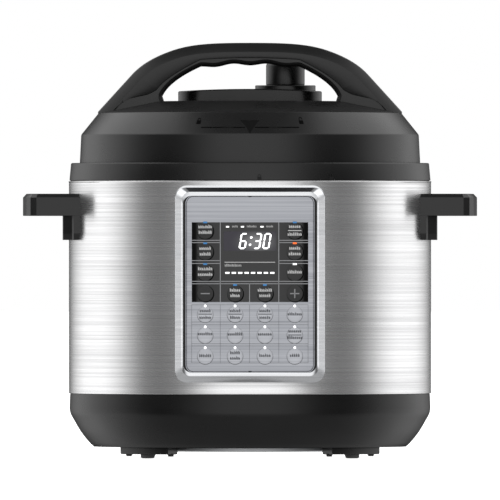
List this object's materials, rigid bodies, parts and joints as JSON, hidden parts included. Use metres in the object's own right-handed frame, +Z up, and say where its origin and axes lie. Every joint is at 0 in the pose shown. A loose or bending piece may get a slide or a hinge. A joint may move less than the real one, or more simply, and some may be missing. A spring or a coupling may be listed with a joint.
{
  "type": "electric pressure cooker",
  "caption": "Round countertop electric pressure cooker with a twist-lock lid, a keypad panel, side handles and a lift-out inner pot.",
  "frame": {"origin": "on the table under the middle of the cooker's whole footprint, 8.3 mm behind the pot's axis", "axes": "+Z up, +X to the right of the keypad as seen from the front, -Y out of the keypad"},
  "size_m": [0.3404, 0.3034, 0.3109],
  "materials": {
    "black_plastic": "satin",
    "brushed_steel": "brushed",
    "bright_steel": "satin",
    "galvanised_steel": "matte",
    "cast_aluminium": "cast",
    "spring_steel": "satin",
    "satin_chrome": "satin",
    "silver_panel": "brushed satin",
    "dark_window": "gloss",
    "circuit_board": "satin",
    "dark_key": "satin",
    "silver_key": "satin",
    "grey_rubber": "matte",
    "clear_silicone": "satin",
    "smoked_plastic": "gloss"
  },
  "bodies": {
    "housing": {"base_housing": "black_plastic", "rubber_foot_1": "grey_rubber", "rubber_foot_2": "grey_rubber", "rubber_foot_3": "grey_rubber", "rubber_foot_4": "grey_rubber", "bottom_cover": "galvanised_steel", "outer_housing": "brushed_steel", "rim_ring": "black_plastic", "locking_pot": "cast_aluminium", "heating_plate": "cast_aluminium", "sensor_spring": "spring_steel", "power_board": "circuit_board", "control_bezel": "satin_chrome", "control_panel": "silver_panel", "display_lens": "dark_window", "display_board": "circuit_board", "side_handle_left": "black_plastic", "side_handle_right": "black_plastic", "power_inlet": "black_plastic", "collector_bracket": "black_plastic"},
    "inner_pot": {"inner_pot": "bright_steel"},
    "sensor": {"sensor_plunger": "bright_steel"},
    "collector": {"condensation_collector": "smoked_plastic"},
    "seal": {"sealing_ring": "clear_silicone"},
    "lid": {"lid_cover": "black_plastic", "lid_handle": "black_plastic", "handle_grip": "black_plastic", "valve_platform": "black_plastic", "steam_valve_seat": "black_plastic", "exhaust_pipe": "bright_steel", "inner_lid": "bright_steel", "sealing_ring_rack": "bright_steel", "anti_block_shield": "bright_steel", "lid_nut": "bright_steel"},
    "weight": {"valve_weight": "bright_steel"},
    "steam_knob": {"steam_release_knob": "black_plastic"},
    "float": {"float_valve": "bright_steel", "float_valve_cap": "clear_silicone"},
    "key_1_1": {"key_1_1": "dark_key"},
    "key_1_4": {"key_1_4": "dark_key"},
    "key_2_1": {"key_2_1": "dark_key"},
    "key_2_4": {"key_2_4": "dark_key"},
    "key_3_1": {"key_3_1": "dark_key"},
    "key_3_4": {"key_3_4": "dark_key"},
    "key_4_1": {"key_4_1": "dark_key"},
    "key_4_2": {"key_4_2": "dark_key"},
    "key_4_3": {"key_4_3": "dark_key"},
    "key_4_4": {"key_4_4": "dark_key"},
    "key_5_1": {"key_5_1": "silver_key"},
    "key_5_2": {"key_5_2": "silver_key"},
    "key_5_3": {"key_5_3": "silver_key"},
    "key_5_4": {"key_5_4": "silver_key"},
    "key_6_1": {"key_6_1": "silver_key"},
    "key_6_2": {"key_6_2": "silver_key"},
    "key_6_3": {"key_6_3": "silver_key"},
    "key_6_4": {"key_6_4": "silver_key"},
    "key_7_1": {"key_7_1": "silver_key"},
    "key_7_2": {"key_7_2": "silver_key"},
    "key_7_3": {"key_7_3": "silver_key"},
    "key_7_4": {"key_7_4": "silver_key"}
  },
  "joints": [
    {"name": "lid_lift", "type": "slide", "parent": "housing", "child": "seal", "axis": [0, 0, 1], "range_m": [0, 0.3]},
    {"name": "lid_turn", "type": "hinge", "parent": "seal", "child": "lid", "pos_m": [0, -0.00825, 0.22], "axis": [0, 0, 1], "range_deg": [0, 27]},
    {"name": "pot_lift", "type": "slide", "parent": "housing", "child": "inner_pot", "axis": [0, 0, 1], "range_m": [0, 0.174]},
    {"name": "knob_lift", "type": "slide", "parent": "lid", "child": "weight", "axis": [0, 0, 1], "range_m": [0, 0.02]},
    {"name": "knob_turn", "type": "hinge", "parent": "weight", "child": "steam_knob", "pos_m": [0.0266, 0.03775, 0.2797], "axis": [0, 0, 1], "range_deg": [0, 60]},
    {"name": "float_rise", "type": "slide", "parent": "lid", "child": "float", "axis": [0, 0, 1], "range_m": [0, 0.0045]},
    {"name": "sensor_press", "type": "slide", "parent": "housing", "child": "sensor", "axis": [0, 0, 1], "range_m": [-0.002, 0], "stiffness_N_per_m": 400, "springref_m": 0.003, "deforming": ["sensor_spring"]},
    {"name": "collector_slide", "type": "slide", "parent": "housing", "child": "collector", "axis": [0, 1, 0], "range_m": [0, 0.04]},
    {"name": "key_1_1_press", "type": "slide", "parent": "housing", "child": "key_1_1", "axis": [0, 1, 0], "range_m": [0, 0.0007], "stiffness_N_per_m": 300, "springref_m": -0.001},
    {"name": "key_1_4_press", "type": "slide", "parent": "housing", "child": "key_1_4", "axis": [0, 1, 0], "range_m": [0, 0.0007], "stiffness_N_per_m": 300, "springref_m": -0.001},
    {"name": "key_2_1_press", "type": "slide", "parent": "housing", "child": "key_2_1", "axis": [0, 1, 0], "range_m": [0, 0.0007], "stiffness_N_per_m": 300, "springref_m": -0.001},
    {"name": "key_2_4_press", "type": "slide", "parent": "housing", "child": "key_2_4", "axis": [0, 1, 0], "range_m": [0, 0.0007], "stiffness_N_per_m": 300, "springref_m": -0.001},
    {"name": "key_3_1_press", "type": "slide", "parent": "housing", "child": "key_3_1", "axis": [0, 1, 0], "range_m": [0, 0.0007], "stiffness_N_per_m": 300, "springref_m": -0.001},
    {"name": "key_3_4_press", "type": "slide", "parent": "housing", "child": "key_3_4", "axis": [0, 1, 0], "range_m": [0, 0.0007], "stiffness_N_per_m": 300, "springref_m": -0.001},
    {"name": "key_4_1_press", "type": "slide", "parent": "housing", "child": "key_4_1", "axis": [0, 1, 0], "range_m": [0, 0.0007], "stiffness_N_per_m": 300, "springref_m": -0.001},
    {"name": "key_4_2_press", "type": "slide", "parent": "housing", "child": "key_4_2", "axis": [0, 1, 0], "range_m": [0, 0.0007], "stiffness_N_per_m": 300, "springref_m": -0.001},
    {"name": "key_4_3_press", "type": "slide", "parent": "housing", "child": "key_4_3", "axis": [0, 1, 0], "range_m": [0, 0.0007], "stiffness_N_per_m": 300, "springref_m": -0.001},
    {"name": "key_4_4_press", "type": "slide", "parent": "housing", "child": "key_4_4", "axis": [0, 1, 0], "range_m": [0, 0.0007], "stiffness_N_per_m": 300, "springref_m": -0.001},
    {"name": "key_5_1_press", "type": "slide", "parent": "housing", "child": "key_5_1", "axis": [0, 1, 0], "range_m": [0, 0.0007], "stiffness_N_per_m": 300, "springref_m": -0.001},
    {"name": "key_5_2_press", "type": "slide", "parent": "housing", "child": "key_5_2", "axis": [0, 1, 0], "range_m": [0, 0.0007], "stiffness_N_per_m": 300, "springref_m": -0.001},
    {"name": "key_5_3_press", "type": "slide", "parent": "housing", "child": "key_5_3", "axis": [0, 1, 0], "range_m": [0, 0.0007], "stiffness_N_per_m": 300, "springref_m": -0.001},
    {"name": "key_5_4_press", "type": "slide", "parent": "housing", "child": "key_5_4", "axis": [0, 1, 0], "range_m": [0, 0.0007], "stiffness_N_per_m": 300, "springref_m": -0.001},
    {"name": "key_6_1_press", "type": "slide", "parent": "housing", "child": "key_6_1", "axis": [0, 1, 0], "range_m": [0, 0.0007], "stiffness_N_per_m": 300, "springref_m": -0.001},
    {"name": "key_6_2_press", "type": "slide", "parent": "housing", "child": "key_6_2", "axis": [0, 1, 0], "range_m": [0, 0.0007], "stiffness_N_per_m": 300, "springref_m": -0.001},
    {"name": "key_6_3_press", "type": "slide", "parent": "housing", "child": "key_6_3", "axis": [0, 1, 0], "range_m": [0, 0.0007], "stiffness_N_per_m": 300, "springref_m": -0.001},
    {"name": "key_6_4_press", "type": "slide", "parent": "housing", "child": "key_6_4", "axis": [0, 1, 0], "range_m": [0, 0.0007], "stiffness_N_per_m": 300, "springref_m": -0.001},
    {"name": "key_7_1_press", "type": "slide", "parent": "housing", "child": "key_7_1", "axis": [0, 1, 0], "range_m": [0, 0.0007], "stiffness_N_per_m": 300, "springref_m": -0.001},
    {"name": "key_7_2_press", "type": "slide", "parent": "housing", "child": "key_7_2", "axis": [0, 1, 0], "range_m": [0, 0.0007], "stiffness_N_per_m": 300, "springref_m": -0.001},
    {"name": "key_7_3_press", "type": "slide", "parent": "housing", "child": "key_7_3", "axis": [0, 1, 0], "range_m": [0, 0.0007], "stiffness_N_per_m": 300, "springref_m": -0.001},
    {"name": "key_7_4_press", "type": "slide", "parent": "housing", "child": "key_7_4", "axis": [0, 1, 0], "range_m": [0, 0.0007], "stiffness_N_per_m": 300, "springref_m": -0.001}
  ],
  "couplings": [
    {"joint": "pot_lift", "follows": "lid_lift", "ratio": 0.58}
  ]
}
